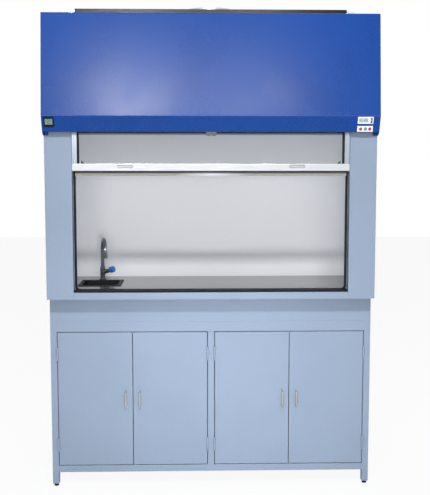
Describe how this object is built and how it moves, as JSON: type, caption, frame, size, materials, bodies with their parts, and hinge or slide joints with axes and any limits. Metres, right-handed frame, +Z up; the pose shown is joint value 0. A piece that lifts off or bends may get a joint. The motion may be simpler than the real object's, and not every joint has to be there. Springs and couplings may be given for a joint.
{
  "type": "fume hood",
  "caption": "Floor-standing fume hood: rising glass sash under a sloped canopy, worktop with sink and tap, exhaust collar, and a base with paired cupboard doors.",
  "frame": {"origin": "middle of the bounding box at floor level", "axes": "+Z up, front faces -Y, +X to the right seen from the front"},
  "size_m": [1.5, 0.8512, 2.26],
  "materials": {
    "body_paint": "satin powder coat, light blue-grey",
    "canopy_paint": "semi-gloss powder coat, blue",
    "liner_white": "glossy white laminate",
    "worktop_dark": "polished dark cast slab",
    "sash_alloy": "satin anodised",
    "sash_black": "black anodised",
    "clear_glass": "clear toughened glass",
    "black_rubber": "matt",
    "chrome_plate": "polished",
    "bright_steel": "zinc plated",
    "cast_weight": "as cast",
    "pulley_nylon": "moulded",
    "sink_black": "satin moulded",
    "tap_metal": "satin",
    "knob_blue": "glossy",
    "meter_black": "fine texture",
    "plate_white": "glossy",
    "screen_glass": "clear window over a display",
    "button_red": "glossy",
    "button_teal": "glossy",
    "key_dark": "matt",
    "diffuser_white": "opal",
    "foot_black": "hard rubber"
  },
  "bodies": {
    "hood": {"base_frame": "body_paint", "base_panels": "body_paint", "skirt": "body_paint", "hinge_leaves": "body_paint", "door_catches": "plate_white", "sill": "body_paint", "floor_pan": "body_paint", "inner_header": "body_paint", "outer_panels": "body_paint", "roof": "body_paint", "liner_panels": "liner_white", "ceiling": "liner_white", "baffle_plates": "liner_white", "worktop": "worktop_dark", "opening_seal": "black_rubber", "sash_guides": "sash_alloy", "sash_bumpers": "black_rubber", "pulley_brackets": "bright_steel", "cables": "bright_steel", "canopy": "canopy_paint", "panel_meter": "meter_black", "display_plate": "plate_white", "control_plate": "plate_white", "display_screens": "screen_glass", "lamp": "plate_white", "lamp_diffuser": "diffuser_white", "exhaust_collar": "bright_steel", "sink": "sink_black", "tap_body": "tap_metal", "post_left": "body_paint", "post_right": "body_paint"},
    "sash": {"sash_bar": "sash_alloy", "finger_pulls": "sash_alloy", "sash_stiles": "sash_alloy", "sash_top_rail": "sash_black", "sash_glass": "clear_glass", "sash_seals": "black_rubber"},
    "tap_spout": {"tap_spout": "tap_metal"},
    "tap_knob": {"tap_knob": "knob_blue"},
    "pulley_left": {"pulley_left": "pulley_nylon"},
    "counterweight_left": {"counterweight_left": "cast_weight"},
    "pulley_right": {"pulley_right": "pulley_nylon"},
    "counterweight_right": {"counterweight_right": "cast_weight"},
    "button_left": {"button_left": "button_red"},
    "button_middle": {"button_middle": "button_teal"},
    "button_right": {"button_right": "button_red"},
    "key_upper": {"key_upper": "key_dark"},
    "key_lower": {"key_lower": "key_dark"},
    "door_left_bay_left": {"door_left_bay_left": "body_paint", "handle_left_bay_left": "chrome_plate"},
    "door_left_bay_right": {"door_left_bay_right": "body_paint", "handle_left_bay_right": "chrome_plate"},
    "door_right_bay_left": {"door_right_bay_left": "body_paint", "handle_right_bay_left": "chrome_plate"},
    "door_right_bay_right": {"door_right_bay_right": "body_paint", "handle_right_bay_right": "chrome_plate"},
    "foot_front_left": {"foot_front_left": "foot_black"},
    "foot_front_right": {"foot_front_right": "foot_black"},
    "foot_rear_left": {"foot_rear_left": "foot_black"},
    "foot_rear_right": {"foot_rear_right": "foot_black"}
  },
  "joints": [
    {"name": "sash_slide", "type": "slide", "parent": "hood", "child": "sash", "axis": [0, 0, 1], "range_m": [-0.521, 0.1232], "deforming": ["cables"]},
    {"name": "counterweight_left_slide", "type": "slide", "parent": "hood", "child": "counterweight_left", "axis": [0, 0, 1], "range_m": [-0.1232, 0.521]},
    {"name": "pulley_left_spin", "type": "hinge", "parent": "hood", "child": "pulley_left", "pos_m": [-0.68, -0.336, 2.12], "axis": [0, -1, 0], "range_deg": [-1067, 253]},
    {"name": "counterweight_right_slide", "type": "slide", "parent": "hood", "child": "counterweight_right", "axis": [0, 0, 1], "range_m": [-0.1232, 0.521]},
    {"name": "pulley_right_spin", "type": "hinge", "parent": "hood", "child": "pulley_right", "pos_m": [0.68, -0.336, 2.12], "axis": [0, 1, 0], "range_deg": [-1067, 253]},
    {"name": "door_left_bay_left_hinge", "type": "hinge", "parent": "hood", "child": "door_left_bay_left", "pos_m": [-0.7175, -0.2913, 0.42], "axis": [0, 0, -1], "range_deg": [0, 110]},
    {"name": "door_left_bay_right_hinge", "type": "hinge", "parent": "hood", "child": "door_left_bay_right", "pos_m": [-0.0165, -0.2913, 0.42], "axis": [0, 0, 1], "range_deg": [0, 85]},
    {"name": "door_right_bay_left_hinge", "type": "hinge", "parent": "hood", "child": "door_right_bay_left", "pos_m": [0.0165, -0.2913, 0.42], "axis": [0, 0, -1], "range_deg": [0, 85]},
    {"name": "door_right_bay_right_hinge", "type": "hinge", "parent": "hood", "child": "door_right_bay_right", "pos_m": [0.7175, -0.2913, 0.42], "axis": [0, 0, 1], "range_deg": [0, 110]},
    {"name": "foot_front_left_turn", "type": "hinge", "parent": "hood", "child": "foot_front_left", "pos_m": [-0.734, -0.271, 0.02], "axis": [0, 0, 1], "continuous": true},
    {"name": "foot_front_right_turn", "type": "hinge", "parent": "hood", "child": "foot_front_right", "pos_m": [0.734, -0.271, 0.02], "axis": [0, 0, 1], "continuous": true},
    {"name": "foot_rear_left_turn", "type": "hinge", "parent": "hood", "child": "foot_rear_left", "pos_m": [-0.734, 0.41, 0.02], "axis": [0, 0, 1], "continuous": true},
    {"name": "foot_rear_right_turn", "type": "hinge", "parent": "hood", "child": "foot_rear_right", "pos_m": [0.734, 0.41, 0.02], "axis": [0, 0, 1], "continuous": true},
    {"name": "button_left_press", "type": "slide", "parent": "hood", "child": "button_left", "axis": [0, 0.933, 0.3599], "range_m": [0, 0.002], "stiffness_N_per_m": 800, "springref_m": -0.001},
    {"name": "button_middle_press", "type": "slide", "parent": "hood", "child": "button_middle", "axis": [0, 0.933, 0.3599], "range_m": [0, 0.002], "stiffness_N_per_m": 800, "springref_m": -0.001},
    {"name": "button_right_press", "type": "slide", "parent": "hood", "child": "button_right", "axis": [0, 0.933, 0.3599], "range_m": [0, 0.002], "stiffness_N_per_m": 800, "springref_m": -0.001},
    {"name": "key_upper_press", "type": "slide", "parent": "hood", "child": "key_upper", "axis": [0, 0.933, 0.3599], "range_m": [0, 0.001], "stiffness_N_per_m": 800, "springref_m": -0.001},
    {"name": "key_lower_press", "type": "slide", "parent": "hood", "child": "key_lower", "axis": [0, 0.933, 0.3599], "range_m": [0, 0.001], "stiffness_N_per_m": 800, "springref_m": -0.001},
    {"name": "tap_spout_swivel", "type": "hinge", "parent": "hood", "child": "tap_spout", "pos_m": [-0.547, 0.148, 1], "axis": [0, 0, 1], "range_deg": [-100, 100]},
    {"name": "tap_knob_turn", "type": "hinge", "parent": "hood", "child": "tap_knob", "pos_m": [-0.547, 0.148, 0.966], "axis": [0.8163, -0.4898, 0.3061], "range_deg": [0, 90]}
  ],
  "couplings": [
    {"joint": "counterweight_left_slide", "follows": "sash_slide", "ratio": -1},
    {"joint": "pulley_left_spin", "follows": "sash_slide", "rad_per_m": 35.714},
    {"joint": "counterweight_right_slide", "follows": "sash_slide", "ratio": -1},
    {"joint": "pulley_right_spin", "follows": "sash_slide", "rad_per_m": 35.714}
  ]
}
